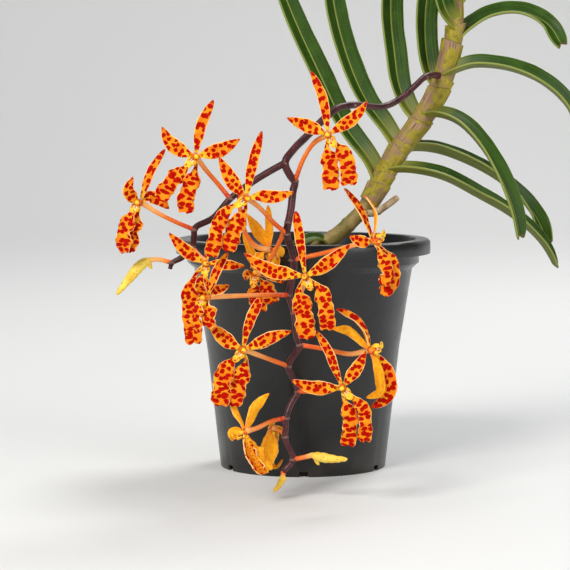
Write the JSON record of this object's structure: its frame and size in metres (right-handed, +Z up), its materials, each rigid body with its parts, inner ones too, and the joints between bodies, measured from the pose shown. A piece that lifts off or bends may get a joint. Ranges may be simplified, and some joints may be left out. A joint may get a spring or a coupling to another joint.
{
  "type": "potted renanthera monachica",
  "caption": "Potted orchid: a leafy stem in a black round pot of bark, with a hanging zigzag spray of red-spotted orange blooms and yellow buds.",
  "frame": {"origin": "middle of the pot's base, on the surface that it stands on", "axes": "+Z up, -Y towards the front where the flower spray hangs, +X to the right, the way the stem leans"},
  "size_m": [0.1871, 0.1654, 0.2365],
  "materials": {
    "pot_plastic": "satin",
    "bark": "matte",
    "stem_tissue": "matte",
    "leaf_tissue": "satin",
    "rachis_tissue": "satin",
    "petal_tissue": "satin",
    "bud_tissue": "satin"
  },
  "bodies": {
    "root": {"pot": "pot_plastic", "bark_mix": "bark", "stem": "stem_tissue", "leaf_left_1": "leaf_tissue", "leaf_left_2": "leaf_tissue", "leaf_left_3": "leaf_tissue", "leaf_left_4": "leaf_tissue", "leaf_left_5": "leaf_tissue", "leaf_right_1": "leaf_tissue", "leaf_right_2": "leaf_tissue", "leaf_right_3": "leaf_tissue", "leaf_right_4": "leaf_tissue", "leaf_right_5": "leaf_tissue", "leaf_top_young": "leaf_tissue", "leaf_at_foot": "leaf_tissue", "spray_rachis": "rachis_tissue", "bloom_top": "petal_tissue", "bloom_left_high": "petal_tissue", "bloom_left_far": "petal_tissue", "bloom_heart": "petal_tissue", "bloom_left_low": "petal_tissue", "bloom_left_turned": "petal_tissue", "bloom_centre": "petal_tissue", "bloom_right_high": "petal_tissue", "bloom_low_left": "petal_tissue", "bloom_low_right": "petal_tissue", "bloom_right_low": "petal_tissue", "bloom_foot": "petal_tissue", "bloom_foot_hanging": "petal_tissue", "bloom_back_high": "petal_tissue", "bloom_back_low": "petal_tissue", "bud_left": "bud_tissue", "bud_right": "bud_tissue", "bud_tip": "bud_tissue"}
  },
  "joints": []
}
